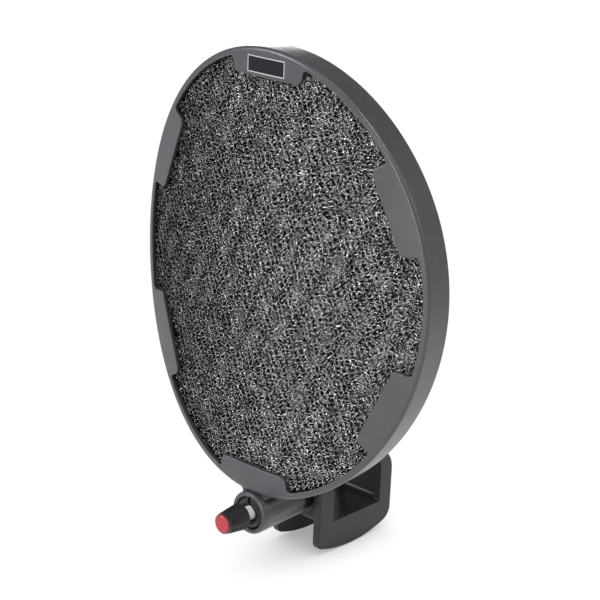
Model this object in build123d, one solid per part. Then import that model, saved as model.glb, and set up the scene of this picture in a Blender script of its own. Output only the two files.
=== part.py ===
"""Oval foam pop filter: a bent oval hoop holding a foam disc, on a swivelling and lockable bracket.

Millimetres. X is to the right seen from the front, Y points backwards, Z up. The origin is the middle
of the bracket's sleeve, on the swivel axis, and the swivel axis is the Y axis.
"""
from build123d import *
from math import cos, hypot, radians, sin
import os

# ---- Hoop: an oval ring bent back about a vertical axis ----
CROWN_Y = -48.0            # front face on the middle line
HOOP_Z = 93.1              # centre of the oval above the swivel axis
HOOP_HALF_W = 70.8         # outer oval, in the plane of the crown
HOOP_HALF_H = 85.0
OPENING_HALF_W = 67.6      # opening inside the front lip
OPENING_HALF_H = 82.5
OPENING = (OPENING_HALF_W, OPENING_HALF_H)
HOOP_DEPTH = 12.6
HOOP_WALL = 1.9
HOOP_DRAFT = 0.0635        # how much smaller the oval gets for each millimetre backwards
BEND_RADIUS = 224.0
LIP_THICKNESS = 1.8
HOOP_EDGE_RADIUS = 1.3
WALL_FRONT = 1.4           # depth at which the side wall joins the lip, behind the rounded edge

# ---- Six tabs that hold the foam, as angles round the oval from the top ----
TABS = [(-14.6, 14.6), (50.0, 74.6), (105.5, 130.9), (165.3, 194.7), (229.1, 254.5), (285.4, 310.0)]
TAB_REACH = 8.3            # how far a tab reaches into the opening
TAB_FLARE = 0.93           # width at the tip over width at the root
TAB_TIP_RADIUS = 2.6
TAB_ROOT_RADIUS = 1.4
TAB_EDGE_RADIUS = 0.35

# ---- Foam and rear frame ----
FOAM_FRONT = 1.9           # depths behind the front face
FOAM_BACK = 10.1
FOAM_GAP = 0.15
REAR_FRAME_FRONT = 10.2
REAR_FRAME_BACK = 12.4
REAR_HALF_W = 67.2
REAR_HALF_H = 82.1
REAR_RIM = 3.6
REAR_TIP_RADIUS = 1.6
POST_RADIUS = 2.6
POST_INSET = 4.7           # from the edge of the opening to the post's axis
POST_HOLE_RADIUS = 1.1
POST_HOLE_DEPTH = 7.0
FOAM_HOLE_RADIUS = 3.0

# ---- Frame screws ----
SCREW_RADIUS = 1.05
SCREW_LENGTH = 6.6
SCREW_HEAD_RADIUS = 2.1
SCREW_HEAD_HEIGHT = 1.3
SCREW_HEAD_ROUND = 0.6
CROSS_LENGTH = 2.3
CROSS_WIDTH = 0.5
CROSS_DEPTH = 0.7
SCREW_CLEARANCE_RADIUS = 1.3
SCREW_PAD_RADIUS = 3.1
SCREW_PAD_RISE = 0.9

# ---- Blank badge on the top tab ----
BADGE_Z = HOOP_Z + 78.45
BADGE_W = 17.8
BADGE_H = 6.1
BADGE_RIM = 0.4
BADGE_POCKET = 0.6
BADGE_PROUD = 0.15
BADGE_GAP = 0.03

# ---- Boss under the hoop, and its collar ----
BOSS_FRONT_Y = CROWN_Y + 0.3
BOSS_BACK_Y = -23.5
BOSS_FRONT_RADIUS = 8.5
BOSS_BACK_RADIUS = 7.85
BOSS_BACK_ROUND = 2.6
BOSS_BORE_RADIUS = 5.58
BOSS_FRONT_ROUND = 0.5
NECK_HALF_W = 5.6
NECK_TOP_HALF_W = 7.4
NECK_SPLAY_Z = 7.4
NECK_TOP_Z = 9.4
COLLAR_SEAT_RADIUS = 7.3
COLLAR_SEAT_Y = -45.9
COLLAR_BORE_RADIUS = 6.35
COLLAR_LIP_RADIUS = 8.4
COLLAR_ROUND = 0.47         # share of the lip's width that is rounded on each side
COLLAR_FRONT_Y = -49.4

# ---- Split spigot ----
SPIGOT_FRONT_Y = -49.1
SPIGOT_RADIUS = 5.5
BARB_RADIUS = 6.1
BARB_BACK_Y = -46.0
SPIGOT_SHOULDER_Y = -22.6
SPIGOT_NECK_RADIUS = 7.2
SPIGOT_FLANGE_Y = -20.0
SPIGOT_FLANGE_RADIUS = 8.2
SLIT_WIDTH = 1.0
SLIT_BACK_Y = -32.0
DISH_RADIUS = 4.4
DISH_FLOOR_RADIUS = 2.95
DISH_FLOOR_Y = -48.0
STUD_HOLE_RADIUS = 2.1
SPIGOT_TIP_CHAMFER = 0.45
CAVITY_FRONT_Y = -44.5
CAVITY_FRONT_RADIUS = 3.2
CAVITY_BACK_RADIUS = 4.3
CAVITY_TAPER_END_Y = -36.0

# ---- Cone nut, stud, spacer and clip ----
NUT_FRONT_Y = -41.5
NUT_BACK_Y = -36.5
NUT_BORE_RADIUS = 2.03
NUT_GAP = 0.04
KEY_WIDTH = 0.9
KEY_REACH = 5.2
STUD_RADIUS = 1.98
STUD_FRONT_Y = -60.0
STUD_BACK_Y = -26.0
STUD_CHAMFER = 0.4
SPACER_RADIUS = 2.75
CLIP_Y = -27.6
CLIP_THICKNESS = 0.6
CLIP_RADIUS = 3.3
CLIP_SEAT_RADIUS = 1.55
O_RING_Y = -26.2
O_RING_SECTION = 0.7
O_RING_GROOVE_HALF = 0.385

# ---- Thumb knob and cap ----
KNOB_BACK_Y = -53.4
KNOB_SHOULDER_Y = -61.9
KNOB_FRONT_Y = -63.2
KNOB_BACK_RADIUS = 5.25
KNOB_SHOULDER_RADIUS = 4.25
KNOB_FRONT_RADIUS = 3.85
KNOB_RIBS = 48
RIB_DEPTH = 0.22
KNOB_RECESS_Y = -54.2
KNOB_RECESS_RADIUS = 4.1
CAP_RADIUS = 3.55
CAP_BACK_Y = -61.8
CAP_FRONT_Y = -63.7
CAP_ROUND = 0.6

# ---- Bracket ----
CHEEK_OUTER_X = 12.4
CHEEK_INNER_X = 9.4
BRACKET_FRONT_Y = -22.0
BRACKET_BACK_Y = 21.6
BRACKET_TOP_Z = 11.5
BRACKET_FRONT_CORNER_Z = -20.3   # where the bottom curve meets the front edge
BRACKET_BACK_CORNER_Z = -18.9
BRACKET_BOTTOM_Z = -23.8
BRACKET_TOP_RADIUS = 10.0
BRACKET_FRONT_RADIUS = 3.6
BRACKET_BACK_RADIUS = 6.0
SLEEVE_FRONT_Y = -14.2
SLEEVE_BACK_Y = 14.4
SLEEVE_FLOOR_Z = -10.9
SLEEVE_TOP_Z = 8.7
SLEEVE_TOP_RADIUS = 6.0
SLEEVE_BOTTOM_RADIUS = 1.0
POCKET_BACK_Y = 16.3       # the sleeve is deeper between the cheeks than in them
POCKET_RADIUS = 2.0
WEB_FRONT_Y = -16.8
WEB_BACK_Y = 19.0
WEB_BOTTOM_Z = -13.1
WEB_TOP_ROUND = 1.0
WEB_BOTTOM_ROUND = 3.0
CHEEK_EDGE_RADIUS = 0.8

# ---- Spigot screws, washer and grip pad ----
SPIGOT_SCREW_OFFSET = 6.1
SPIGOT_SCREW_RADIUS = 1.2
SPIGOT_SCREW_HEAD_RADIUS = 2.2
SPIGOT_SCREW_HEAD_HEIGHT = 1.4
SPIGOT_SCREW_FRONT_Y = -20.6
DRIVER_SLOT = (0.5, 5.0)
DRIVER_SLOT_DEPTH = 0.6
WASHER_FRONT_Y = -23.45
WASHER_BACK_Y = -22.65
WASHER_RADIUS = 7.3
WASHER_BORE_RADIUS = 5.6
PAD_HALF_LENGTH = 9.5
PAD_THICKNESS = 1.0
PAD_GROOVES = 9
PAD_GROOVE_PITCH = 2.0
PAD_GROOVE_WIDTH = 0.8
PAD_GROOVE_DEPTH = 0.35

FIT = 0.02                 # clearance between parts that are pressed together
BIG = 300.0                # larger than anything in the object


def plane_at(y):
    """A drawing plane facing forwards at y: its own x is X, and its own y is Z."""
    return Plane(origin=(0, y, 0), x_dir=(1, 0, 0), z_dir=(0, -1, 0))


def prism(outline, y0, y1):
    """An outline drawn in X and Z, made solid from y0 back to y1."""
    return extrude(plane_at(y0) * outline, amount=y1 - y0, dir=(0, 1, 0))


def turned(points):
    """A solid of revolution about the Y axis, from (radius, y) corners."""
    profile = make_face(Polyline(*points, close=True))
    return revolve(profile, Axis.Y)


def tube(outer, inner, y0, y1):
    return turned([(inner, y0), (outer, y0), (outer, y1), (inner, y1)])


def bent_slab(front, back):
    """The space between two depths behind the hoop's bent front face."""
    ahead = Pos(0, CROWN_Y + front + BEND_RADIUS, HOOP_Z) * Cylinder(BEND_RADIUS, BIG)
    behind = Pos(0, CROWN_Y + back + BEND_RADIUS, HOOP_Z) * Cylinder(BEND_RADIUS, BIG)
    near = Pos(0, CROWN_Y + 20, HOOP_Z) * Box(2 * HOOP_HALF_W + 20, 60, BIG)
    return (ahead & near) - behind


def tapered_oval(inset, y0=CROWN_Y - 3, y1=CROWN_Y + 30):
    """The hoop's outer form, drawn in by inset: an oval that shrinks backwards with the draft."""
    faces = []
    for y in (y0, y1):
        shrink = inset + HOOP_DRAFT * (y - CROWN_Y)
        oval = Ellipse(HOOP_HALF_W - shrink, HOOP_HALF_H - shrink)
        faces.append(plane_at(y) * Pos(0, HOOP_Z) * oval)
    return loft(faces, ruled=True)


def oval_point(angle, inset=0.0):
    """A point on the opening's edge, moved inwards by inset, at an angle from the top."""
    a = radians(angle)
    x, z = OPENING_HALF_W * sin(a), OPENING_HALF_H * cos(a)
    nx, nz = x / OPENING_HALF_W**2, z / OPENING_HALF_H**2
    length = hypot(nx, nz)
    return x - inset * nx / length, z - inset * nz / length


def tab_corners(first, last):
    """Root and tip corners of one tab, whose tip is a straight chord."""
    x0, z0 = oval_point(first)
    x1, z1 = oval_point(last)
    mid_x, mid_z = (x0 + x1) / 2, (z0 + z1) / 2
    crown_x, crown_z = oval_point((first + last) / 2, TAB_REACH)
    roots = [(x0, z0), (x1, z1)]
    tips = [(crown_x + TAB_FLARE * (x - mid_x), crown_z + TAB_FLARE * (z - mid_z)) for x, z in roots]
    return roots, tips


def near_any(vertex, points, reach=0.2):
    return any(hypot(vertex.X - x, vertex.Y - z) < reach for x, z in points)


def tabbed_ring(outer, opening, tip_radius):
    """An oval ring with the six tabs, drawn about the oval's own centre."""
    hole = Ellipse(*opening)
    roots, tips = [], []
    for first, last in TABS:
        root, tip = tab_corners(first, last)
        beyond = [(1.2 * x, 1.2 * z) for x, z in root]
        hole -= make_face(Polyline(beyond[0], root[0], tip[0], tip[1], root[1], beyond[1], close=True))
        roots += root
        tips += tip
    ring = Ellipse(*outer) - hole
    ring = fillet(ring.vertices().filter_by(lambda v: near_any(v, tips)), tip_radius)
    if opening == OPENING:
        ring = fillet(ring.vertices().filter_by(lambda v: near_any(v, roots)), TAB_ROOT_RADIUS)
    return ring


def post_places():
    """Centre of the post behind each tab, in X and Z."""
    places = []
    for first, last in TABS:
        x, z = oval_point((first + last) / 2, POST_INSET)
        places.append((x, HOOP_Z + z))
    return places


def face_y(x, depth):
    """Y of the bent surface at a depth behind the front face."""
    return CROWN_Y + depth + BEND_RADIUS - (BEND_RADIUS**2 - x**2) ** 0.5


def rod(x, z, radius, y0, y1):
    """A round bar along Y."""
    return prism(Pos(x, z) * Circle(radius), y0, y1)


def screw_seat_y(x):
    """Where a frame screw's head rests, at the back of the rear frame."""
    return face_y(x, REAR_FRAME_BACK) + SCREW_PAD_RISE


def only(shape):
    """The one solid of a shape."""
    solids = shape.solids()
    assert len(solids) == 1, f"expected one solid, found {len(solids)}"
    return solids[0]


# ---- Head: everything that swivels ----
def boss_neck():
    """The short neck between the hoop's underside and the boss, splayed where it meets the hoop."""
    outline = make_face(Polyline(
        (-NECK_HALF_W, 0),
        (-NECK_HALF_W, NECK_SPLAY_Z),
        (-NECK_TOP_HALF_W, NECK_TOP_Z),
        (NECK_TOP_HALF_W, NECK_TOP_Z),
        (NECK_HALF_W, NECK_SPLAY_Z),
        (NECK_HALF_W, 0),
        close=True,
    ))
    return prism(outline, BOSS_FRONT_Y + 1.0, CROWN_Y + HOOP_DEPTH - 0.3)


def boss():
    """The turned boss under the hoop, before it is bored."""
    body = turned([
        (0, BOSS_FRONT_Y),
        (BOSS_FRONT_RADIUS, BOSS_FRONT_Y),
        (BOSS_BACK_RADIUS, BOSS_BACK_Y),
        (0, BOSS_BACK_Y),
    ])
    rims = body.edges().filter_by(GeomType.CIRCLE).sort_by(Axis.Y)
    body = fillet(rims[-1], BOSS_BACK_ROUND)
    rims = body.edges().filter_by(GeomType.CIRCLE).sort_by(Axis.Y)
    return fillet(rims[0], BOSS_FRONT_ROUND)


def front_lip():
    """The bent face of the hoop with its tabs, and with softened edges."""
    outline = tabbed_ring((HOOP_HALF_W + 5, HOOP_HALF_H + 5), OPENING, TAB_TIP_RADIUS)
    lip = prism(Pos(0, HOOP_Z) * outline, CROWN_Y - 2, CROWN_Y + 30)
    lip = lip & tapered_oval(0) & bent_slab(0, LIP_THICKNESS)
    on_face = lip.edges().filter_by(lambda e: all(abs(v.Y - face_y(v.X, 0)) < 0.02 for v in e.vertices()))
    rim = max(on_face, key=lambda e: e.length)
    lip = fillet([e for e in on_face if e.length < rim.length], TAB_EDGE_RADIUS)
    rim = max(lip.edges(), key=lambda e: (e.length > rim.length / 2, -e.center().Y))
    return fillet(rim, HOOP_EDGE_RADIUS)


def front_frame():
    wall = (tapered_oval(0) - tapered_oval(HOOP_WALL)) & bent_slab(WALL_FRONT, HOOP_DEPTH)
    frame = front_lip() + wall
    post_room = bent_slab(WALL_FRONT, REAR_FRAME_FRONT - 0.05)
    for x, z in post_places():
        frame += rod(x, z, POST_RADIUS, CROWN_Y, CROWN_Y + 30) & post_room
    frame += boss_neck()
    frame += boss()
    for x, z in post_places():
        top = face_y(x, REAR_FRAME_FRONT)
        frame -= rod(x, z, POST_HOLE_RADIUS, top - POST_HOLE_DEPTH, top + 1)
    frame -= rod(0, 0, BOSS_BORE_RADIUS, BOSS_FRONT_Y - 1, BOSS_BACK_Y + 1)
    frame -= rod(0, 0, COLLAR_SEAT_RADIUS, BOSS_FRONT_Y - 1, COLLAR_SEAT_Y)
    pocket = prism(Pos(0, BADGE_Z) * Rectangle(BADGE_W, BADGE_H), CROWN_Y - 2, CROWN_Y + 5)
    return only(frame - (pocket & bent_slab(-1, BADGE_POCKET)))


def rear_frame():
    opening = (REAR_HALF_W - REAR_RIM, REAR_HALF_H - REAR_RIM)
    outline = Pos(0, HOOP_Z) * tabbed_ring((REAR_HALF_W, REAR_HALF_H), opening, REAR_TIP_RADIUS)
    frame = prism(outline, CROWN_Y - 2, CROWN_Y + 40) & bent_slab(REAR_FRAME_FRONT, REAR_FRAME_BACK)
    for x, z in post_places():
        top = screw_seat_y(x)
        frame += rod(x, z, SCREW_PAD_RADIUS, face_y(x, REAR_FRAME_FRONT) + 1.0, top)
        frame -= rod(x, z, SCREW_CLEARANCE_RADIUS, CROWN_Y, top + 5)
    return only(frame)


def foam_disc():
    disc = tapered_oval(HOOP_WALL + FOAM_GAP) & bent_slab(FOAM_FRONT, FOAM_BACK)
    for x, z in post_places():
        disc -= rod(x, z, FOAM_HOLE_RADIUS, CROWN_Y - 2, CROWN_Y + 40)
    return only(disc)


def frame_screws():
    """Six pan-head screws with a cross slot, driven from behind into the posts."""
    screws = []
    cross = Rectangle(CROSS_LENGTH, CROSS_WIDTH) + Rectangle(CROSS_WIDTH, CROSS_LENGTH)
    for x, z in post_places():
        seat = screw_seat_y(x)
        head = rod(x, z, SCREW_HEAD_RADIUS, seat, seat + SCREW_HEAD_HEIGHT)
        back = seat + SCREW_HEAD_HEIGHT
        head = fillet(head.edges().filter_by(lambda e: e.center().Y > back - 0.01), SCREW_HEAD_ROUND)
        head -= prism(Pos(x, z) * cross, back - CROSS_DEPTH, back + 1)
        screws.append(only(head + rod(x, z, SCREW_RADIUS, seat - SCREW_LENGTH, seat)))
    return Compound(screws)


def badge_rim():
    outer = Rectangle(BADGE_W - 2 * BADGE_GAP, BADGE_H - 2 * BADGE_GAP)
    inner = Rectangle(BADGE_W - 2 * BADGE_RIM, BADGE_H - 2 * BADGE_RIM)
    rim = prism(Pos(0, BADGE_Z) * (outer - inner), CROWN_Y - 2, CROWN_Y + 5)
    return only(rim & bent_slab(-BADGE_PROUD, BADGE_POCKET))


def badge_plate():
    gap = 2 * (BADGE_RIM + BADGE_GAP)
    plate = prism(Pos(0, BADGE_Z) * Rectangle(BADGE_W - gap, BADGE_H - gap), CROWN_Y - 2, CROWN_Y + 5)
    return only(plate & bent_slab(0.05, BADGE_POCKET))


def boss_collar():
    """The rounded ring pressed into the boss's mouth."""
    lip_back = BOSS_FRONT_Y
    ring = turned([
        (COLLAR_BORE_RADIUS, COLLAR_FRONT_Y),
        (COLLAR_LIP_RADIUS, COLLAR_FRONT_Y),
        (COLLAR_LIP_RADIUS, lip_back),
        (COLLAR_SEAT_RADIUS - FIT, lip_back),
        (COLLAR_SEAT_RADIUS - FIT, COLLAR_SEAT_Y),
        (COLLAR_BORE_RADIUS, COLLAR_SEAT_Y),
    ])
    front = ring.edges().filter_by(lambda e: abs(e.center().Y - COLLAR_FRONT_Y) < 0.01)
    return only(fillet(front, COLLAR_ROUND * (COLLAR_LIP_RADIUS - COLLAR_BORE_RADIUS)))


# ---- Bracket: everything that stays still ----
def bracket_side(front, back, floor, top, top_radius, bottom_radius):
    """A rectangle in Y and Z with rounded corners, as a face at x = 0."""
    shape = Pos((front + back) / 2, (floor + top) / 2) * Rectangle(back - front, top - floor)
    shape = fillet(shape.vertices().filter_by(lambda v: v.Y > 0), top_radius)
    shape = fillet(shape.vertices().filter_by(lambda v: v.Y < floor + 0.01), bottom_radius)
    return Plane.YZ * shape


def bracket_outline():
    """The cheeks' side view: straight front, back and top, and a gently curved bottom."""
    front_corner = (BRACKET_FRONT_Y, BRACKET_FRONT_CORNER_Z)
    back_corner = (BRACKET_BACK_Y, BRACKET_BACK_CORNER_Z)
    lowest = ((BRACKET_FRONT_Y + BRACKET_BACK_Y) / 2, BRACKET_BOTTOM_Z)
    edges = Polyline(
        front_corner,
        (BRACKET_FRONT_Y, BRACKET_TOP_Z),
        (BRACKET_BACK_Y, BRACKET_TOP_Z),
        back_corner,
    )
    edges += ThreePointArc(back_corner, lowest, front_corner)
    shape = make_face(edges)
    shape = fillet(shape.vertices().filter_by(lambda v: v.Y > 0), BRACKET_TOP_RADIUS)
    for y, radius in ((BRACKET_FRONT_Y, BRACKET_FRONT_RADIUS), (BRACKET_BACK_Y, BRACKET_BACK_RADIUS)):
        low = shape.vertices().filter_by(lambda v: abs(v.X - y) < 0.01 and v.Y < SLEEVE_FLOOR_Z)
        shape = fillet(low, radius)
    return Plane.YZ * shape


def across(face, half_width):
    """A side-view face made solid, the same distance to the left and to the right."""
    return extrude(face, amount=half_width, both=True)


def bracket_body():
    body = across(bracket_outline(), CHEEK_OUTER_X)
    rims = body.edges().filter_by(lambda e: abs(abs(e.center().X) - CHEEK_OUTER_X) < 0.01)
    body = fillet(rims, CHEEK_EDGE_RADIUS)
    walls = bracket_side(
        WEB_FRONT_Y, WEB_BACK_Y, WEB_BOTTOM_Z, BRACKET_TOP_Z + 5, WEB_TOP_ROUND, WEB_BOTTOM_ROUND
    )
    body -= across(bracket_outline(), CHEEK_INNER_X) - across(walls, CHEEK_INNER_X)
    sleeve = bracket_side(
        SLEEVE_FRONT_Y, SLEEVE_BACK_Y, SLEEVE_FLOOR_Z, SLEEVE_TOP_Z, SLEEVE_TOP_RADIUS, SLEEVE_BOTTOM_RADIUS
    )
    body -= across(sleeve, CHEEK_OUTER_X + 1)
    pocket = bracket_side(
        SLEEVE_FRONT_Y, POCKET_BACK_Y, SLEEVE_FLOOR_Z, SLEEVE_TOP_Z, POCKET_RADIUS, POCKET_RADIUS
    )
    body -= across(pocket, CHEEK_INNER_X)
    for side in (-1, 1):
        z = side * SPIGOT_SCREW_OFFSET
        body -= rod(0, z, SPIGOT_SCREW_RADIUS + 0.1, WEB_FRONT_Y - 1, SLEEVE_FRONT_Y + 1)
        body -= countersink(z, SPIGOT_SCREW_HEAD_RADIUS + 0.05)
    return only(body)


def countersink(z, radius):
    """A screw head's cone in the web, widest at the sleeve's front wall."""
    cone = turned([
        (0, SLEEVE_FRONT_Y - SPIGOT_SCREW_HEAD_HEIGHT),
        (SPIGOT_SCREW_RADIUS, SLEEVE_FRONT_Y - SPIGOT_SCREW_HEAD_HEIGHT),
        (radius, SLEEVE_FRONT_Y),
        (0, SLEEVE_FRONT_Y),
    ])
    return Pos(0, 0, z) * cone


def spigot_screws():
    """Two countersunk screws that hold the spigot's flange to the web."""
    screws = []
    slot = prism(Rectangle(*DRIVER_SLOT), SLEEVE_FRONT_Y - DRIVER_SLOT_DEPTH, SLEEVE_FRONT_Y + 1)
    for side in (-1, 1):
        z = side * SPIGOT_SCREW_OFFSET
        screw = countersink(z, SPIGOT_SCREW_HEAD_RADIUS) + rod(
            0, z, SPIGOT_SCREW_RADIUS - FIT, SPIGOT_SCREW_FRONT_Y, SLEEVE_FRONT_Y - 1
        )
        screws.append(only(screw - Pos(0, 0, z) * slot))
    return Compound(screws)


def split_spigot():
    """The tube that the boss turns on, slit at its front into two fingers with barbed tips."""
    body = turned([
        (0, SPIGOT_FRONT_Y),
        (BARB_RADIUS, SPIGOT_FRONT_Y),
        (BARB_RADIUS, BARB_BACK_Y),
        (SPIGOT_RADIUS, BARB_BACK_Y),
        (SPIGOT_RADIUS, SPIGOT_SHOULDER_Y),
        (SPIGOT_NECK_RADIUS, SPIGOT_SHOULDER_Y),
        (SPIGOT_NECK_RADIUS, SPIGOT_FLANGE_Y),
        (SPIGOT_FLANGE_RADIUS, SPIGOT_FLANGE_Y),
        (SPIGOT_FLANGE_RADIUS, WEB_FRONT_Y),
        (0, WEB_FRONT_Y),
    ])
    tip = body.edges().filter_by(GeomType.CIRCLE).sort_by(Axis.Y)[0]
    body = chamfer(tip, SPIGOT_TIP_CHAMFER)
    body -= turned([
        (0, SPIGOT_FRONT_Y - 1),
        (DISH_RADIUS, SPIGOT_FRONT_Y - 1),
        (DISH_RADIUS, SPIGOT_FRONT_Y),
        (DISH_FLOOR_RADIUS, DISH_FLOOR_Y),
        (STUD_HOLE_RADIUS, DISH_FLOOR_Y),
        (STUD_HOLE_RADIUS, CAVITY_FRONT_Y),
        (CAVITY_FRONT_RADIUS, CAVITY_FRONT_Y),
        (CAVITY_BACK_RADIUS, CAVITY_TAPER_END_Y),
        (CAVITY_BACK_RADIUS, WEB_FRONT_Y + 1),
        (0, WEB_FRONT_Y + 1),
    ])
    body -= prism(Rectangle(SLIT_WIDTH, 4 * BARB_RADIUS), SPIGOT_FRONT_Y - 1, SLIT_BACK_Y)
    for side in (-1, 1):
        z = side * SPIGOT_SCREW_OFFSET
        body -= rod(0, z, SPIGOT_SCREW_RADIUS, SPIGOT_SCREW_FRONT_Y - 0.5, WEB_FRONT_Y + 1)
    groove_floor = BOSS_BORE_RADIUS - O_RING_SECTION - FIT
    groove_front = O_RING_Y - O_RING_GROOVE_HALF
    groove_back = O_RING_Y + O_RING_GROOVE_HALF
    return only(body - tube(SPIGOT_RADIUS + 1, groove_floor, groove_front, groove_back))


def friction_ring():
    """A rubber ring in the spigot's groove that keeps the swivel from rattling."""
    middle = BOSS_BORE_RADIUS - FIT - O_RING_SECTION / 2
    section = Pos(middle, O_RING_Y) * Circle((O_RING_SECTION - FIT) / 2)
    return only(revolve(section, Axis.Y))


def thrust_washer():
    return only(tube(WASHER_RADIUS, WASHER_BORE_RADIUS, WASHER_FRONT_Y, WASHER_BACK_Y))


def grip_pad():
    """A ribbed rubber strip under the sleeve's top that grips the bar."""
    size = (2 * (CHEEK_INNER_X - 0.1), 2 * PAD_HALF_LENGTH, PAD_THICKNESS)
    pad = Pos(0, 0, SLEEVE_TOP_Z - PAD_THICKNESS / 2) * Box(*size)
    groove = Box(3 * CHEEK_INNER_X, PAD_GROOVE_WIDTH, 2 * PAD_GROOVE_DEPTH)
    for step in range(PAD_GROOVES):
        y = (step - (PAD_GROOVES - 1) / 2) * PAD_GROOVE_PITCH
        pad -= Pos(0, y, SLEEVE_TOP_Z - PAD_THICKNESS) * groove
    return only(pad)


# ---- Clamp: the knob draws the cone nut forwards and spreads the fingers ----
def cavity_radius(y):
    """Radius of the tapered hole between the spigot's fingers."""
    share = (y - CAVITY_FRONT_Y) / (CAVITY_TAPER_END_Y - CAVITY_FRONT_Y)
    return CAVITY_FRONT_RADIUS + share * (CAVITY_BACK_RADIUS - CAVITY_FRONT_RADIUS)


def cone_nut():
    """A tapered nut with two keys that run in the slits, so that it slides and can't turn."""
    nut = turned([
        (0, NUT_FRONT_Y),
        (cavity_radius(NUT_FRONT_Y) - NUT_GAP, NUT_FRONT_Y),
        (cavity_radius(NUT_BACK_Y) - NUT_GAP, NUT_BACK_Y),
        (0, NUT_BACK_Y),
    ])
    nut += prism(Rectangle(KEY_WIDTH, 2 * KEY_REACH), NUT_FRONT_Y + 1, NUT_BACK_Y - 0.5)
    return only(nut - rod(0, 0, NUT_BORE_RADIUS, NUT_FRONT_Y - 1, NUT_BACK_Y + 1))


def clamp_stud():
    stud = rod(0, 0, STUD_RADIUS, STUD_FRONT_Y, STUD_BACK_Y)
    stud = chamfer(stud.edges().filter_by(GeomType.CIRCLE), STUD_CHAMFER)
    groove = tube(STUD_RADIUS + 1, CLIP_SEAT_RADIUS, CLIP_Y, CLIP_Y + CLIP_THICKNESS + 0.05)
    return only(stud - groove)


def stud_clip():
    """A snap ring at the stud's end that stops the knob from being unscrewed all the way."""
    ring = tube(CLIP_RADIUS, CLIP_SEAT_RADIUS + FIT, CLIP_Y + FIT, CLIP_Y + CLIP_THICKNESS)
    mouth = Pos(0, 0, -CLIP_RADIUS) * Box(1.6 * CLIP_SEAT_RADIUS, 100, 2 * CLIP_RADIUS)
    return only(ring - mouth)


def spacer_sleeve():
    sleeve = tube(SPACER_RADIUS, STUD_HOLE_RADIUS - 0.05, KNOB_RECESS_Y, DISH_FLOOR_Y - 0.05)
    return only(sleeve)


def ribbed_outline(radius, depth):
    """A circle with pointed ribs all round it."""
    points = []
    for step in range(2 * KNOB_RIBS):
        a = radians(step * 180 / KNOB_RIBS)
        r = radius if step % 2 else radius - depth
        points.append((r * sin(a), r * cos(a)))
    return make_face(Polyline(*points, close=True))


def thumb_knob():
    """A slim ribbed cone, hollow at the back where the spacer meets it and with a seat for the cap."""
    back = plane_at(KNOB_BACK_Y) * ribbed_outline(KNOB_BACK_RADIUS, RIB_DEPTH)
    front = plane_at(KNOB_SHOULDER_Y) * ribbed_outline(KNOB_SHOULDER_RADIUS, RIB_DEPTH)
    body = loft([front, back], ruled=True)
    nose_radius = KNOB_SHOULDER_RADIUS - RIB_DEPTH
    nose = turned([
        (0, KNOB_FRONT_Y),
        (KNOB_FRONT_RADIUS, KNOB_FRONT_Y),
        (nose_radius, KNOB_SHOULDER_Y),
        (0, KNOB_SHOULDER_Y),
    ])
    body += nose
    body -= rod(0, 0, KNOB_RECESS_RADIUS, KNOB_RECESS_Y, KNOB_BACK_Y + 1)
    body -= rod(0, 0, STUD_RADIUS + FIT, STUD_FRONT_Y - 0.05, KNOB_BACK_Y)
    body -= rod(0, 0, CAP_RADIUS + FIT, KNOB_FRONT_Y - 1, CAP_BACK_Y + FIT)
    return only(body)


def knob_cap():
    cap = rod(0, 0, CAP_RADIUS, CAP_FRONT_Y, CAP_BACK_Y)
    rim = cap.edges().filter_by(GeomType.CIRCLE).sort_by(Axis.Y)[0]
    return only(fillet(rim, CAP_ROUND))


NODES = {
    "front_frame": front_frame,
    "rear_frame": rear_frame,
    "foam_disc": foam_disc,
    "frame_screws": frame_screws,
    "badge_rim": badge_rim,
    "badge_plate": badge_plate,
    "boss_collar": boss_collar,
    "bracket_body": bracket_body,
    "split_spigot": split_spigot,
    "spigot_screws": spigot_screws,
    "friction_ring": friction_ring,
    "thrust_washer": thrust_washer,
    "grip_pad": grip_pad,
    "cone_nut": cone_nut,
    "clamp_stud": clamp_stud,
    "stud_clip": stud_clip,
    "spacer_sleeve": spacer_sleeve,
    "thumb_knob": thumb_knob,
    "knob_cap": knob_cap,
}


def main():
    os.makedirs("parts", exist_ok=True)
    for name, make in NODES.items():
        export_step(make(), f"parts/{name}.step")


main()
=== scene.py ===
"""The looks of the oval foam pop filter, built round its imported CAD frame. Metres, in the CAD's own frame."""

import itertools
import math

import bpy
import numpy as np
from mathutils import Matrix, Vector, noise


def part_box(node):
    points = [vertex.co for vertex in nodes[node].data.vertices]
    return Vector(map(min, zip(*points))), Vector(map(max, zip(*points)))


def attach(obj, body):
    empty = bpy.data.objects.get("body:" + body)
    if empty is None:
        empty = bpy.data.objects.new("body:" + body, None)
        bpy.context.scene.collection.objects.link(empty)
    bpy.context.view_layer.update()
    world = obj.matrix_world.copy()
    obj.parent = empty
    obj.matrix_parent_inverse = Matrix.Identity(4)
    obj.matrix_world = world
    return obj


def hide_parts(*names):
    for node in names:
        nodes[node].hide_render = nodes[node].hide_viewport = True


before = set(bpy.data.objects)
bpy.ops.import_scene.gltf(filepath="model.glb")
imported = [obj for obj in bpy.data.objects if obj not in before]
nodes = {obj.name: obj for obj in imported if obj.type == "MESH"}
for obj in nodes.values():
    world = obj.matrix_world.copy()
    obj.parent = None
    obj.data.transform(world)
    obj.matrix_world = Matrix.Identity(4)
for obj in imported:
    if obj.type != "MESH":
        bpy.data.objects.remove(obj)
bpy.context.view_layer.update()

MM = 0.001

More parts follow.
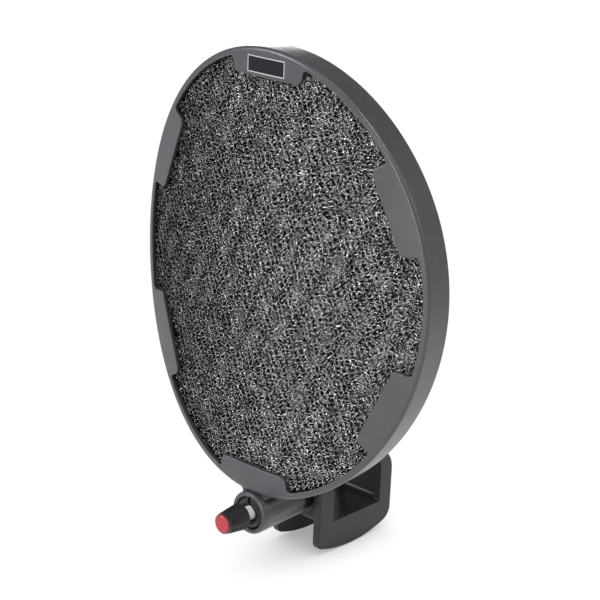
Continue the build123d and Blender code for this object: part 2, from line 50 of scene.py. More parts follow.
# ---- The hoop's shape, which the foam follows ----
BEND_RADIUS = 224 * MM
DRAFT = 0.0635                      # how much the oval shrinks for each step backwards
CROWN_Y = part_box("front_frame")[0].y
FOAM_LOW, FOAM_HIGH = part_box("foam_disc")
FOAM_CENTRE_Z = (FOAM_LOW.z + FOAM_HIGH.z) / 2
FOAM_THICKNESS = 8.2 * MM
FOAM_FRONT = FOAM_LOW.y - CROWN_Y   # depths behind the bent front face
FOAM_BACK = FOAM_FRONT + FOAM_THICKNESS
SIDE_DRAFT = 0.8 * MM               # by which the draft and the bend narrow the disc's box at the sides
TOP_DRAFT = 0.1 * MM
FOAM_HALF_W = FOAM_HIGH.x + SIDE_DRAFT      # of the oval, at the crown of the bend
FOAM_HALF_H = FOAM_HIGH.z - FOAM_CENTRE_Z + TOP_DRAFT

# ---- The foam's cells ----
CELL_PITCH = 2.35 * MM              # edge of the cubic unit that holds two cells
STRUT = 0.29 * MM                   # how far a joint's tips stand from its middle
STRUT_SPREAD = (0.5, 1.6)           # share of that, from the thinnest joint to the thickest
LAYER_DEPTH = 2.7 * MM              # how deep the open cells are modelled, in front and behind
CORE_MARGIN = 0.5 * MM              # how far the core reaches into the open cells
CELL_TURN = math.radians(23)        # of the rows of cells, in the plane of the disc
SPARE_CELLS = 3                     # rows of cells beyond the layer's depth
WARP_WAVES = 14
WARP_LENGTHS = (2.0, 7.0)           # in pitches
WARP_SIZE = 0.10                    # share of the pitch that each wave moves a cell
JOINT_JITTER = 0.09                 # share of the pitch
POST_CLEARANCE = 3.0 * MM           # from the middle of a post that passes through the foam
LEAST_STUB = 0.05                   # share of a strut that is left where it can't reach the surface
WINDOW_SHARE = 0.12                 # share of the cells' faces that kept their film
WINDOW_THICKNESS = 0.06 * MM
WINDOW_BULGE = 0.08 * MM
# The ways that half of a cell's faces look, as each face is shared by two cells.
WINDOW_SIDES = ((1, 0, 0), (0, 1, 0), (0, 0, 1), (1, 1, 1), (1, 1, -1), (1, -1, 1), (1, -1, -1))
WINDOW_SEED = 5
CORE_BOWL = 0.7 * MM                # depth of the hollow that the core has at each cell
CORE_INSET = 1.2 * MM               # of the core's rim from the foam's rim
CORE_RINGS, CORE_SPOKES = 96, 400
SEED = 11

# ---- Moulded plastic: size and depth of its grain, how far painted shade reaches into a recess, and how much paler a worn edge is ----
SATIN_GRAIN = (0.32 * MM, 0.012 * MM)
FINE_GRAIN = (0.3 * MM, 0.008 * MM)
KNOB_GRAIN = (0.3 * MM, 0.006 * MM)
# Painted shade: colour and shine are darkened in recesses, up to this far from a wall.
RECESS_REACH = 12 * MM              # how far off a wall still darkens a recess
WORN_EDGE = 1.7

# ---- Light ----
SHADE_REACH = 30 * MM               # of the contact shade on the floor
SHADE_DARKEST = 0.35
FLOOR_GAP = 0.05 * MM               # below the bracket
FLOOR_HALF_SIDE = 4.0
ROOM_SEEN = 1.0
ROOM_MIRRORED = (1.3, 0.22)         # how bright shiny surfaces see the room, straight below and all round
ROOM_AMBIENT = 0.02

# ---- Camera: from the front, turned to the right, tipped down and rolled ----
CAMERA_AZIMUTH, CAMERA_ELEVATION, CAMERA_ROLL = map(math.radians, (41.66, 18.72, 2.41))
CAMERA_PLACE = (0.4279, -0.5058, 0.2982)
LENS, SENSOR_WIDTH = 108.78, 36     # in millimetres, as Blender has them


# ---------------------------------------------------------------- meshes
def new_object(name, mesh):
    piece = bpy.data.objects.new(name, mesh)
    bpy.context.scene.collection.objects.link(piece)
    return piece


def mesh_from_faces(name, points, face_groups):
    """A mesh from an array of points and arrays of faces, each array with one corner count."""
    mesh = bpy.data.meshes.new(name)
    corners = np.concatenate([faces.ravel() for faces in face_groups])
    sizes = np.concatenate([np.full(len(faces), faces.shape[1]) for faces in face_groups])
    starts = np.concatenate([[0], np.cumsum(sizes)[:-1]])
    mesh.vertices.add(len(points))
    mesh.vertices.foreach_set("co", points.astype(np.float32).ravel())
    mesh.loops.add(len(corners))
    mesh.loops.foreach_set("vertex_index", corners.astype(np.int32))
    mesh.polygons.add(len(sizes))
    mesh.polygons.foreach_set("loop_start", starts.astype(np.int32))
    mesh.update(calc_edges=True)
    mesh.validate()
    return mesh


# ---------------------------------------------------------------- foam
def bend(points):
    """Points given as x, depth behind the front face and z, moved onto the bent disc."""
    x, depth, z = points.T
    sag = BEND_RADIUS - np.sqrt(BEND_RADIUS**2 - x**2)
    return np.stack([x, CROWN_Y + depth + sag, z], axis=1)


def room_in_oval(points):
    """How far inside the foam's tapered oval each point is, roughly: positive inside."""
    x, depth, z = points.T
    shrink = DRAFT * (bend(points)[:, 1] - CROWN_Y)
    w = FOAM_HALF_W - shrink
    h = FOAM_HALF_H - shrink
    radius = np.hypot(x / w, (z - FOAM_CENTRE_Z) / h)
    return (1 - radius) * np.minimum(w, h)


def post_places():
    """Middle of each post that passes through the foam, in x and z, from the screws in the posts."""
    places = []
    for vertex in nodes["frame_screws"].data.vertices:
        spot = Vector((vertex.co.x, vertex.co.z))
        if all((spot - place).length > 3 * POST_CLEARANCE for place in places):
            places.append(spot)
    return places


def clear_of_posts(points):
    clear = np.ones(len(points), bool)
    for place in post_places():
        clear &= np.hypot(points[:, 0] - place.x, points[:, 2] - place.y) > POST_CLEARANCE
    return clear


def steps_with(sizes, reach):
    """All steps on the grid of quarter pitches whose parts, signs apart, have these sizes."""
    return [s for s in itertools.product(range(-reach, reach + 1), repeat=3) if sorted(map(abs, s)) == sizes]


CELL_CORNERS = steps_with([0, 1, 2], 2)     # from a cell's middle to its joints
STRUT_STEPS = steps_with([0, 1, 1], 1)      # from a joint to the joints it may be tied to


def is_joint(step):
    """Whether a place on the grid of quarter pitches is a joint of Kelvin's foam."""
    return tuple(sorted(k % 4 for k in step)) in ((0, 1, 2), (0, 2, 3))


def added(a, b):
    return tuple(p + q for p, q in zip(a, b))


def face_corners(towards):
    """Steps from a cell's middle to the corners of its face on one side, in turning order."""
    reach = max(np.dot(corner, towards) for corner in CELL_CORNERS)
    corners = [corner for corner in CELL_CORNERS if np.dot(corner, towards) == reach]
    middle = np.mean(corners, axis=0)
    first = corners[0] - middle
    second = np.cross(towards, first)
    return sorted(corners, key=lambda c: math.atan2(np.dot(c - middle, second), np.dot(c - middle, first)))


def cells_round(kind):
    """Steps from a joint of this kind to the middles of the four cells that meet there."""
    middles = ((0, 0, 0), (2, 2, 2))
    return [s for s in CELL_CORNERS if tuple(k % 4 for k in added(kind, s)) in middles]


def strut_sides(kind, step):
    """The three cells round a strut, in turning order, as places in the lists of its two ends."""
    near = cells_round(kind)
    far = cells_round(tuple(k % 4 for k in added(kind, step)))
    back = tuple(-k for k in step)
    shared = [c for c in near if added(c, back) in far]
    out = [np.array(c) - np.array(step) / 2 for c in shared]
    if np.dot(np.cross(out[0], out[1]), step) < 0:
        shared[1], shared[2] = shared[2], shared[1]
    return [(near.index(c), far.index(added(c, back))) for c in shared]


def prism(near, far):
    """The three sides of a strut between the three tips at each of its ends."""
    return [np.stack([near[i], near[i - 2], far[i - 2], far[i]], axis=1) for i in range(3)]


class Cells:
    """A slab of irregular Kelvin foam between two depths, on a grid of quarter pitches."""

    def __init__(self, front, back, seed):
        self.front, self.back = front, back
        across = 2 * math.hypot(FOAM_HALF_W, FOAM_HALF_H) + 4 * CELL_PITCH
        self.counts = [math.ceil(length / CELL_PITCH) for length in (across, back - front, across)]
        self.counts[1] += SPARE_CELLS
        self.make_waves(np.random.default_rng(seed))
        self.set_origin()
        self.find_joints()
        rng = np.random.default_rng(seed + 100)
        jitter = rng.normal(size=self.grid.shape) * JOINT_JITTER * CELL_PITCH
        self.joints = self.placed(self.grid, jitter)
        self.half = STRUT * rng.uniform(*STRUT_SPREAD, len(self.grid))
        deep = (self.joints[:, 1] > front) & (self.joints[:, 1] < back)
        self.inside = deep & (room_in_oval(self.joints) > STRUT) & clear_of_posts(self.joints)
        self.set_tips()

    def make_waves(self, rng):
        """Smooth waves that push the cells about, so that no rows show."""
        directions = rng.normal(size=(WARP_WAVES, 3))
        directions /= np.linalg.norm(directions, axis=1, keepdims=True)
        lengths = rng.uniform(*WARP_LENGTHS, (WARP_WAVES, 1)) * CELL_PITCH
        self.waves = directions * (2 * math.pi / lengths)
        self.phases = rng.uniform(0, 2 * math.pi, WARP_WAVES)
        self.pushes = rng.normal(size=(WARP_WAVES, 3)) * WARP_SIZE * CELL_PITCH

    def set_origin(self):
        """Puts the middle of the grid at the middle of the slab."""
        self.origin = np.zeros(3)
        middle = np.array([self.counts]) * 2.0
        self.origin = np.array([0, (self.front + self.back) / 2, FOAM_CENTRE_Z]) - self.turned(middle)[0]

    def turned(self, grid_points):
        """Grid points in metres as x, depth and z, turned in the plane of the disc."""
        x, depth, z = (np.asarray(grid_points) * (CELL_PITCH / 4)).T
        c, s = math.cos(CELL_TURN), math.sin(CELL_TURN)
        return np.stack([c * x - s * z, depth, s * x + c * z], axis=1) + self.origin

    def placed(self, grid_points, jitter=0.0):
        flat = self.turned(grid_points)
        return flat + np.sin(flat @ self.waves.T + self.phases) @ self.pushes + jitter

    def find_joints(self):
        """The grid's joints near the disc, and where each grid point is in that list, or -1."""
        shape = [4 * n for n in self.counts]
        grid = np.stack(np.meshgrid(*[np.arange(n) for n in shape], indexing="ij"), axis=-1)
        rest = np.sort(grid % 4, axis=-1)
        found = (rest == [0, 1, 2]).all(-1) | (rest == [0, 2, 3]).all(-1)
        found[found] = room_in_oval(self.turned(grid[found])) > -2 * CELL_PITCH
        self.grid = grid[found]
        self.index = np.full(shape, -1)
        self.index[found] = np.arange(len(self.grid))
        kinds = [k for k in itertools.product(range(4), repeat=3) if is_joint(k)]
        self.groups = {k: np.flatnonzero((self.grid % 4 == k).all(axis=1)) for k in kinds}

    def set_tips(self):
        """Four points round each joint, one towards the middle of each cell that meets there."""
        self.tips = np.zeros((len(self.grid), 4, 3))
        for kind, members in self.groups.items():
            for slot, step in enumerate(cells_round(kind)):
                away = self.placed(self.grid[members] + step) - self.joints[members]
                away *= (self.half[members] / np.linalg.norm(away, axis=1))[:, None]
                self.tips[members, slot] = self.joints[members] + away

    def struts(self):
        """Each strut from each of its ends: the joints at its start and end, and its sides."""
        for kind, members in self.groups.items():
            for step in STRUT_STEPS:
                if not is_joint(added(kind, step)):
                    continue
                ends = self.grid[members] + step
                within = ((ends >= 0) & (ends < self.index.shape)).all(axis=1)
                start, end = members[within], self.index[tuple(ends[within].T)]
                yield start[end >= 0], end[end >= 0], strut_sides(kind, step)

    def stub_share(self, start, end):
        """How much of a cut strut stays: half where another piece has the rest, or up to the surface."""
        drop = self.joints[end, 1] - self.joints[start, 1]
        room = np.where(drop < 0, self.front, self.back) - self.joints[start, 1]
        share = np.clip(room / np.where(abs(drop) < 0.001 * MM, MM, drop), LEAST_STUB, 1.0)
        share = np.where(room_in_oval(self.joints[end]) < STRUT, LEAST_STUB, share)
        return np.where(self.inside[end], 0.5, share)

    def windows(self, kept):
        """Thin closed films left in a few of the cells' faces: their points and triangles."""
        rng = np.random.default_rng(WINDOW_SEED)
        cells = np.argwhere(np.ones([n // 2 for n in self.index.shape])) * 2
        cells = cells[(cells % 4 == cells[:, :1] % 4).all(axis=1)]
        points, triangles, total = [], [], 0
        for towards in WINDOW_SIDES:
            corners = face_corners(towards)
            ends = cells[:, None] + corners
            within = ((ends >= 0) & (ends < self.index.shape)).all(axis=(1, 2))
            within &= rng.random(len(cells)) < WINDOW_SHARE
            rims = self.index[tuple(np.moveaxis(ends[within], -1, 0))]
            rims = rims[(rims >= 0).all(axis=1)]
            rims = rims[kept[rims].all(axis=1)]
            rim = self.joints[rims]
            normal = np.cross(rim[:, 1] - rim[:, 0], rim[:, 2] - rim[:, 0])
            normal /= np.linalg.norm(normal, axis=1, keepdims=True)
            bulge = rng.normal(size=(len(rims), 1)) * WINDOW_BULGE
            hubs = [rim.mean(axis=1) + normal * (bulge + side * WINDOW_THICKNESS / 2) for side in (1, -1)]
            points.append(np.concatenate([rim, np.stack(hubs, axis=1)], axis=1).reshape(-1, 3))
            count = len(corners)
            start = total + np.arange(len(rims)) * (count + 2)
            total += len(rims) * (count + 2)
            for i in range(count):
                near, far = start + i, start + (i + 1) % count
                triangles.append(np.stack([near, far, start + count], axis=1))
                triangles.append(np.stack([far, near, start + count + 1], axis=1))
        return np.concatenate(points), np.concatenate(triangles)

    def mesh(self, name, kept):
        """A closed mesh of the struts and windows between the kept joints."""
        points = [self.tips.reshape(-1, 3)]
        total = len(points[0])
        quads, caps = [], []
        for start, end, sides in self.struts():
            both = kept[start] & kept[end] & (start < end)
            near = [4 * start[both] + a for a, _ in sides]
            far = [4 * end[both] + b for _, b in sides]
            quads += prism(near, far)
            cut = kept[start] & ~kept[end]
            s, e = start[cut], end[cut]
            stub = (self.joints[e] - self.joints[s]) * self.stub_share(s, e)[:, None]
            near = [4 * s + a for a, _ in sides]
            far = []
            for a, _ in sides:
                points.append(self.tips[s, a] + stub)
                far.append(total + np.arange(len(s)))
                total += len(s)
            quads += prism(near, far)
            caps.append(np.stack(far, axis=1))
        points, quads, caps = np.concatenate(points), np.concatenate(quads), np.concatenate(caps)
        used = np.unique(np.concatenate([quads.ravel(), caps.ravel()]))
        renumber = np.zeros(len(points), int)
        renumber[used] = np.arange(len(used))
        films, film_faces = self.windows(kept)
        faces = [renumber[quads], renumber[caps], film_faces + len(used)]
        return mesh_from_faces(name, bend(np.concatenate([points[used], films])), faces)


def open_cells(side, front, back, seed):
    """The open cells of one side of the foam, in four quarters of a size that any tool can read."""
    cells = Cells(front, back, seed)
    right = cells.joints[:, 0] > 0
    upper = cells.joints[:, 2] > FOAM_CENTRE_Z
    quarters = {
        "upper_right": right & upper,
        "upper_left": ~right & upper,
        "lower_right": right & ~upper,
        "lower_left": ~right & ~upper,
    }
    made = []
    for place, quarter in quarters.items():
        name = f"foam_{side}_{place}"
        made.append(new_object(name, cells.mesh(name, cells.inside & quarter)))
    return made


def foam_core(name, front, back):
    """The foam's deep middle, which blocks the view through it: a bent slab with a bowl at each cell."""
    rings, spokes = CORE_RINGS, CORE_SPOKES
    ring, spoke = np.meshgrid(np.arange(1, rings + 1) / rings, np.arange(spokes) / spokes, indexing="ij")
    angle = 2 * math.pi * spoke
    half_w = FOAM_HALF_W - CORE_INSET
    half_h = FOAM_HALF_H - CORE_INSET
    x = (ring * half_w * np.sin(angle)).ravel()
    z = (ring * half_h * np.cos(angle)).ravel() + FOAM_CENTRE_Z
    flat = np.stack([np.append(x, 0), np.append(z, FOAM_CENTRE_Z)], axis=1)
    sheets = []
    for depth, inward in ((front, 1), (back, -1)):
        bowls = [noise.voronoi(Vector((p[0], depth, p[1])) / CELL_PITCH)[0][0] for p in flat]
        fall = inward * CORE_BOWL * (1 - np.array(bowls))
        shrink = 1 - DRAFT * (depth + fall) / half_w
        shape = np.stack([flat[:, 0] * shrink, depth + fall, flat[:, 1]], axis=1)
        sheets.append(bend(shape))
    points = np.concatenate(sheets)
    count = len(flat)
    grid = np.arange(rings * spokes).reshape(rings, spokes)
    beside = np.roll(grid, -1, axis=1)
    wall = np.stack([grid[:-1], grid[1:], beside[1:], beside[:-1]], axis=-1).reshape(-1, 4)
    hub = np.stack([np.full(spokes, count - 1), grid[0], beside[0]], axis=1)
    rim = np.stack([grid[-1], grid[-1] + count, beside[-1] + count, beside[-1]], axis=1)
    quads = np.concatenate([wall, wall[:, ::-1] + count, rim])
    triangles = np.concatenate([hub, hub[:, ::-1] + count])
    mesh = mesh_from_faces(name, points, [quads, triangles])
    mesh.shade_smooth()
    return new_object(name, mesh)


# ---------------------------------------------------------------- material nodes
class Nodes:
    """Short calls for building the node tree of the room, or of a new material that has a name."""

    def __init__(self, room_or_name):
        self.material = room_or_name
        if isinstance(room_or_name, str):
            self.material = bpy.data.materials.new(room_or_name)
        self.material.use_nodes = True
        self.tree = self.material.node_tree
        self.shader = self.tree.nodes.get("Principled BSDF")
        self.place = self.add("ShaderNodeTexCoord").outputs["Object"]

    def add(self, kind, **settings):
        made = self.tree.nodes.new(kind)
        for key, value in settings.items():
            setattr(made, key, value)
        return made

    def link(self, source, target):
        self.tree.links.new(source, target)

    def set(self, **values):
        for key, value in values.items():
            socket = self.shader.inputs[key.replace("_", " ")]
            if isinstance(value, bpy.types.NodeSocket):
                self.link(value, socket)
            else:
                socket.default_value = value

    def noise(self, size, detail=2.0, stretch=(1, 1, 1)):
        """Soft noise from 0 to 1 whose lumps are about size across."""
        mapping = self.add("ShaderNodeMapping")
        self.link(self.place, mapping.inputs["Vector"])
        mapping.inputs["Scale"].default_value = [s / size for s in stretch]
        texture = self.add("ShaderNodeTexNoise")
        self.link(mapping.outputs[0], texture.inputs["Vector"])
        texture.inputs["Scale"].default_value = 1.0
        texture.inputs["Detail"].default_value = detail
        return texture.outputs["Fac"]

    def grains(self, size):
        """Distance to the nearest grain, for a spark-eroded mould's skin."""
        texture = self.add("ShaderNodeTexVoronoi")
        self.link(self.place, texture.inputs["Vector"])
        texture.inputs["Scale"].default_value = 1 / size
        return texture.outputs["Distance"]

    def ranged(self, value, low, high, to_low=0.0, to_high=1.0):
        """Maps low..high to to_low..to_high, and holds the ends."""
        made = self.add("ShaderNodeMapRange")
        self.link(value, made.inputs["Value"])
        for name, number in zip(("From Min", "From Max", "To Min", "To Max"), (low, high, to_low, to_high)):
            made.inputs[name].default_value = number
        return made.outputs[0]

    def maths(self, operation, a, b):
        made = self.add("ShaderNodeMath", operation=operation)
        for socket, value in zip(made.inputs, (a, b)):
            if isinstance(value, bpy.types.NodeSocket):
                self.link(value, socket)
            else:
                socket.default_value = value
        return made.outputs[0]

    def mix(self, share, a, b):
        """The colour from a to b, each a socket or three numbers."""
        made = self.add("ShaderNodeMix", data_type="RGBA")
        self.link(share, made.inputs[0])
        for socket, value in ((made.inputs[6], a), (made.inputs[7], b)):
            if isinstance(value, bpy.types.NodeSocket):
                self.link(value, socket)
            else:
                socket.default_value = (*value, 1)
        return made.outputs[2]

    def bump(self, height, depth, onto=None):
        made = self.add("ShaderNodeBump")
        made.inputs["Distance"].default_value = depth
        self.link(height, made.inputs["Height"])
        if onto is not None:
            self.link(onto, made.inputs["Normal"])
        return made.outputs[0]

    def recesses(self, reach):
        """0 deep in a recess and 1 on an open face."""
        made = self.add("ShaderNodeAmbientOcclusion", samples=6)
        made.inputs["Distance"].default_value = reach
        return self.ranged(made.outputs["AO"], 0.25, 0.7)

    def shade(self, reach):
        """1 in the open, and darker close to anything that stands on the face."""
        made = self.add("ShaderNodeAmbientOcclusion", samples=16)
        made.inputs["Distance"].default_value = reach
        return self.ranged(made.outputs["AO"], 0.1, 0.85, SHADE_DARKEST, 1.0)

    def see_through(self, tint, rays):
        """Lets what is seen, what is mirrored and lamp light pass, tinted, and stops only diffuse light."""
        clear = self.add("ShaderNodeBsdfTransparent")
        self.link(tint, clear.inputs["Color"])
        passing = self.maths("SUBTRACT", 1.0, rays.outputs["Is Diffuse Ray"])
        either = self.add("ShaderNodeMixShader")
        self.link(passing, either.inputs[0])
        self.link(self.shader.outputs[0], either.inputs[1])
        self.link(clear.outputs[0], either.inputs[2])
        self.link(either.outputs[0], self.tree.nodes["Material Output"].inputs["Surface"])

    def edges(self, radius):
        """1 on corners sharper than the radius and 0 on flat or gently curved faces."""
        rounded = self.add("ShaderNodeBevel", samples=4)
        rounded.inputs["Radius"].default_value = radius
        dot = self.add("ShaderNodeVectorMath", operation="DOT_PRODUCT")
        self.link(rounded.outputs[0], dot.inputs[0])
        self.link(self.add("ShaderNodeNewGeometry").outputs["Normal"], dot.inputs[1])
        return self.ranged(dot.outputs["Value"], 0.995, 0.90)


def scaled(colour, by):
    return tuple(channel * by for channel in colour)


def scaled_node(n, colour, by):
    """A colour socket made darker or lighter."""
    made = n.add("ShaderNodeVectorMath", operation="SCALE")
    n.link(colour, made.inputs[0])
    made.inputs["Scale"].default_value = by
    return made.outputs[0]


def moulded_plastic(name, colour, roughness, grain, gloss=0.5):
    """Injection-moulded nylon: mottled, with a grain of given size and depth, paler worn edges, and painted
    shade that darkens its recesses.
    """
    n = Nodes(name)
    mottle = n.ranged(n.noise(9 * MM, 4), 0.3, 0.7)
    speckle = n.ranged(n.noise(0.5 * MM, 2), 0.35, 0.65)
    base = n.mix(mottle, scaled(colour, 0.90), scaled(colour, 1.10))
    base = n.mix(n.ranged(speckle, 0, 1, 0, 0.3), base, scaled(colour, 1.35))
    worn = n.maths("MULTIPLY", n.edges(0.5 * MM), n.ranged(n.noise(1.6 * MM, 5), 0.42, 0.62))
    base = n.mix(n.maths("MULTIPLY", worn, 0.6), base, scaled(colour, WORN_EDGE))
    # Painted shade in recesses: the colour falls to 0.3 of itself and the shine to 0.3 of the gloss where walls
    # stand close.
    open_to_light = n.recesses(RECESS_REACH)
    base = n.mix(open_to_light, scaled_node(n, base, 0.3), base)
    grain_size, grain_depth = grain
    skin = n.bump(n.grains(grain_size), grain_depth)
    skin = n.bump(n.noise(3 * MM, 3), 0.02 * MM, skin)
    handled = n.ranged(n.noise(14 * MM, 5), 0.3, 0.7, roughness - 0.04, roughness + 0.05)
    n.set(Base_Color=base, Roughness=handled, Normal=skin)
    n.set(Specular_IOR_Level=n.ranged(open_to_light, 0, 1, 0.3 * gloss, gloss))
    return n.material


def foam_material(name):
    """Black reticulated foam, whose struts and films are glossy and catch the light in points, with painted
    light and shade: darker and duller towards the left, lighter and shinier towards the right.
    """
    n = Nodes(name)
    tone = n.ranged(n.noise(1.5 * MM, 3), 0.35, 0.65)
    # Painted light and shade: darker and less shiny at the left, lighter and shinier at the right, from x = -55
    # mm to 10 mm.
    across = n.add("ShaderNodeSeparateXYZ")
    n.link(n.place, across.inputs[0])
    painted_light_share = n.ranged(across.outputs["X"], -55 * MM, 10 * MM)
    painted_lit_colour = n.mix(tone, (0.055, 0.048, 0.049), (0.092, 0.081, 0.083))
    painted_shade_colour = n.mix(tone, (0.024, 0.024, 0.024), (0.042, 0.042, 0.042))
    skin = n.bump(n.noise(0.5 * MM, 2), 0.006 * MM)
    shine = n.ranged(n.noise(1.1 * MM, 2), 0.35, 0.65, 0.07, 0.17)
    n.set(Base_Color=n.mix(painted_light_share, painted_shade_colour, painted_lit_colour), Roughness=shine, Normal=skin, IOR=2.0)
    n.set(Specular_IOR_Level=n.ranged(painted_light_share, 0, 1, 0.42, 1.0))
    return n.material


def core_material(name):
    """The foam seen deep inside, painted in shade: near black, much darker than the foam's own colour, as
    little light comes out again.
    """
    n = Nodes(name)
    tone = n.ranged(n.grains(1.2 * MM), 0.1, 0.6)
    base = n.mix(tone, (0.004, 0.004, 0.004), (0.014, 0.013, 0.013))
    skin = n.bump(n.grains(1.2 * MM), 0.4 * MM)
    n.set(Base_Color=base, Roughness=n.ranged(n.noise(1 * MM), 0.3, 0.7, 0.5, 0.8), Normal=skin)
    return n.material


def metal(name, colour, roughness, turned_marks=0.006 * MM):
    """Machined metal: fine marks round the Y axis, small stains and scattered dull spots."""
    n = Nodes(name)
    rings = n.noise(0.12 * MM, 2, stretch=(0.02, 1, 0.02))
    base = n.mix(n.ranged(n.noise(1.5 * MM, 4), 0.3, 0.7), scaled(colour, 0.86), colour)
    shine = n.ranged(n.noise(0.8 * MM, 4), 0.3, 0.7, roughness - 0.05, roughness + 0.12)
    n.set(Base_Color=base, Metallic=1.0, Roughness=shine, Normal=n.bump(rings, turned_marks))
    return n.material


def zinc_with_painted_highlight(name, colour):
    """Bright zinc plating: a pale satin skin with small clouds, whose near-white, barely metallic colour is
    partly a painted highlight.
    """
    n = Nodes(name)
    base = n.mix(n.ranged(n.noise(1.2 * MM, 4), 0.3, 0.7), scaled(colour, 0.9), colour)
    shine = n.ranged(n.noise(0.5 * MM, 3), 0.3, 0.7, 0.28, 0.42)
    n.set(Base_Color=base, Metallic=0.1, Roughness=shine, Normal=n.bump(n.noise(0.2 * MM, 2), 0.004 * MM))
    return n.material


def rubber(name, colour):
    n = Nodes(name)
    base = n.mix(n.ranged(n.noise(2 * MM, 4), 0.3, 0.7), scaled(colour, 0.8), scaled(colour, 1.3))
    dust = n.ranged(n.noise(0.4 * MM, 4), 0.55, 0.75, 0, 0.3)
    base = n.mix(dust, base, (0.12, 0.115, 0.11))
    n.set(Base_Color=base, Roughness=n.ranged(n.noise(1 * MM), 0.3, 0.7, 0.7, 0.9))
    n.set(Normal=n.bump(n.noise(0.2 * MM, 3), 0.02 * MM))
    return n.material


def glossy_plastic(name, colour, roughness, gloss=0.5):
    """Smooth coloured plastic with faint handling marks."""
    n = Nodes(name)
    base = n.mix(n.ranged(n.noise(2.5 * MM, 3), 0.3, 0.7), scaled(colour, 0.88), scaled(colour, 1.08))
    worn = n.maths("MULTIPLY", n.edges(0.3 * MM), n.ranged(n.noise(0.6 * MM, 4), 0.4, 0.6, 0, 0.5))
    base = n.mix(worn, base, tuple(min(1.0, channel * 1.3 + 0.03) for channel in colour))
    shine = n.ranged(n.noise(1.2 * MM, 5), 0.3, 0.7, roughness - 0.06, roughness + 0.1)
    n.set(Base_Color=base, Roughness=shine, Normal=n.bump(n.noise(0.25 * MM, 2), 0.004 * MM))
    n.set(Specular_IOR_Level=gloss)
    return n.material


def finish_materials():
    """The material for each slot of the record, and for the bracket a darker, less shiny copy of the frame's
    plastic: the frame's copy paints light, the bracket's paints shade.
    """
    # Painted shade: the bracket's copy of the frame's plastic is darker than the frame's.
    bracket_shaded_colour = (0.026, 0.026, 0.028)
    return {
        "frame_plastic": moulded_plastic("satin_frame_plastic", (0.057, 0.057, 0.061), 0.34, SATIN_GRAIN),
        "bracket_plastic": moulded_plastic("satin_bracket_plastic", bracket_shaded_colour, 0.38, SATIN_GRAIN, 0.3),
        "spigot_plastic": moulded_plastic("spigot_plastic", (0.018, 0.018, 0.020), 0.34, FINE_GRAIN),
        "foam": foam_material("open_cell_foam"),
        "knob_plastic": moulded_plastic("knob_plastic", (0.011, 0.011, 0.012), 0.40, KNOB_GRAIN),
        "cap_plastic": glossy_plastic("red_cap_plastic", (0.40, 0.026, 0.030), 0.30),
        "badge_metal": metal("badge_rim_metal", (0.72, 0.72, 0.74), 0.28, 0),
        "badge_blank": glossy_plastic("blank_badge", (0.010, 0.010, 0.014), 0.24, 0.2),
        "screw_steel": metal("blackened_steel", (0.20, 0.20, 0.21), 0.38),
        "bright_steel": zinc_with_painted_highlight("bright_zinc_plate", (0.95, 0.95, 0.96)),
        "nut_brass": metal("turned_brass", (0.80, 0.58, 0.27), 0.28),
        "rubber": rubber("soft_rubber", (0.022, 0.022, 0.023)),
        "washer_nylon": glossy_plastic("black_nylon", (0.02, 0.02, 0.021), 0.42),
    }


def dress_frame(finishes):
    """Puts the finished materials on the CAD nodes, by the name of the slot each one has."""
    for name, node in nodes.items():
        for slot in node.material_slots:
            # The bracket takes the darker copy of the frame's plastic, which paints shade on it.
            wanted = "bracket_plastic" if name == "bracket_body" else slot.material.name.split(".")[0]
            slot.material = finishes[wanted]


# ---------------------------------------------------------------- stage, lights and camera
def floor_material():
    """Pale matt board. The camera sees only the shade on it, so a head that is swung below it still shows."""
    n = Nodes("pale_floor")
    base = n.mix(n.ranged(n.noise(0.4, 2), 0.3, 0.7), (0.60, 0.60, 0.60), (0.62, 0.62, 0.62))
    rays = n.add("ShaderNodeLightPath")
    n.set(Base_Color=base, Roughness=0.9, Specular_IOR_Level=0.1)
    n.see_through(n.shade(SHADE_REACH), rays)
    return n.material


def pale_floor():
    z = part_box("bracket_body")[0].z - FLOOR_GAP
    half = FLOOR_HALF_SIDE
    corners = np.array([(-half, -half, z), (half, -half, z), (half, half, z), (-half, half, z)])
    floor = new_object("floor", mesh_from_faces("floor", corners, [np.array([[0, 1, 2, 3]])]))
    floor.data.materials.append(floor_material())


def panel(name, place, aim, width, height, power, colour=(1, 1, 1)):
    """A soft rectangular lamp at place, facing aim."""
    lamp = bpy.data.lights.new(name, "AREA")
    lamp.shape = "RECTANGLE"
    lamp.size, lamp.size_y = width, height
    lamp.energy, lamp.color = power, colour
    holder = bpy.data.objects.new(name, lamp)
    bpy.context.scene.collection.objects.link(holder)
    holder.location = place
    holder.rotation_euler = (Vector(aim) - Vector(place)).to_track_quat("-Z", "Y").to_euler()


def white_room():
    """A room that the camera and shiny surfaces see as pale, and that hardly lights anything itself."""
    world = bpy.data.worlds.new("white_room")
    bpy.context.scene.world = world
    world.use_nodes = True
    n = Nodes(world)
    rays = n.add("ShaderNodeLightPath")
    direction = n.add("ShaderNodeSeparateXYZ")
    n.link(n.add("ShaderNodeTexCoord").outputs["Generated"], direction.inputs[0])
    room = n.ranged(direction.outputs["Z"], -0.45, 0.05, *ROOM_MIRRORED)
    mirrored = n.maths("MULTIPLY", rays.outputs["Is Glossy Ray"], room)
    seen = n.maths("MULTIPLY", rays.outputs["Is Camera Ray"], ROOM_SEEN)
    strength = n.maths("ADD", n.maths("ADD", seen, mirrored), ROOM_AMBIENT)
    background = n.tree.nodes["Background"]
    background.inputs["Color"].default_value = (1, 1, 1, 1)
    n.link(strength, background.inputs["Strength"])


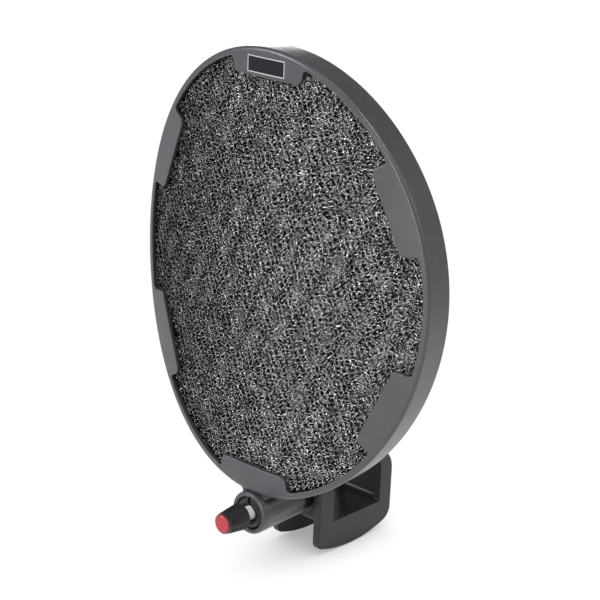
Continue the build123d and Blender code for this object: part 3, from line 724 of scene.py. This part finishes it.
def studio():
    """Soft lamps all round, of which the one at the front left is the strongest."""
    white_room()
    middle = (0, 0, 0.08)
    panel("top_lamp", (0.2, -0.2, 1.4), middle, 0.6, 0.6, 3.5)
    panel("upper_right_lamp", (0.9, -0.5, 1.1), middle, 0.4, 0.4, 10.0)
    panel("back_right_lamp", (1.2, 0.8, 0.7), middle, 0.5, 0.7, 5.5)
    panel("back_left_lamp", (-0.9, 1.1, 0.15), middle, 0.6, 0.4, 6.0)
    panel("low_front_lamp", (0.3, -1.3, 0.05), middle, 0.6, 0.2, 6.5)
    panel("front_left_lamp", (-0.9, -1.2, 0.7), middle, 0.5, 0.6, 18.0, (0.985, 0.955, 1.08))


def camera():
    """Looks down at the front from the right, as far off as a product shot, with a slight roll."""
    right = Vector((math.cos(CAMERA_AZIMUTH), math.sin(CAMERA_AZIMUTH), 0))
    level = Vector((math.sin(CAMERA_AZIMUTH), -math.cos(CAMERA_AZIMUTH), 0))
    back = math.cos(CAMERA_ELEVATION) * level + Vector((0, 0, math.sin(CAMERA_ELEVATION)))
    up = back.cross(right)
    x_axis = math.cos(CAMERA_ROLL) * right + math.sin(CAMERA_ROLL) * up
    y_axis = math.cos(CAMERA_ROLL) * up - math.sin(CAMERA_ROLL) * right
    lens = bpy.data.cameras.new("camera")
    lens.lens, lens.sensor_width = LENS, SENSOR_WIDTH
    eye = bpy.data.objects.new("camera", lens)
    bpy.context.scene.collection.objects.link(eye)
    turn = Matrix((x_axis, y_axis, back)).transposed().to_4x4()
    eye.matrix_world = Matrix.Translation(CAMERA_PLACE) @ turn
    bpy.context.scene.camera = eye


def main():
    finishes = finish_materials()
    dress_frame(finishes)
    front_end = FOAM_FRONT + LAYER_DEPTH
    back_start = FOAM_BACK - LAYER_DEPTH
    cells = open_cells("front", FOAM_FRONT, front_end, SEED)
    cells += open_cells("back", back_start, FOAM_BACK, SEED + 1)
    for piece in cells:
        piece.data.materials.append(finishes["foam"])
    core = foam_core("foam_core", front_end - CORE_MARGIN, back_start + CORE_MARGIN)
    core.data.materials.append(core_material("foam_depth"))
    for piece in cells + [core]:
        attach(piece, "head")
        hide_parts("foam_disc")
    pale_floor()
    studio()
    camera()
    bpy.context.scene.view_settings.view_transform = "Standard"


main()
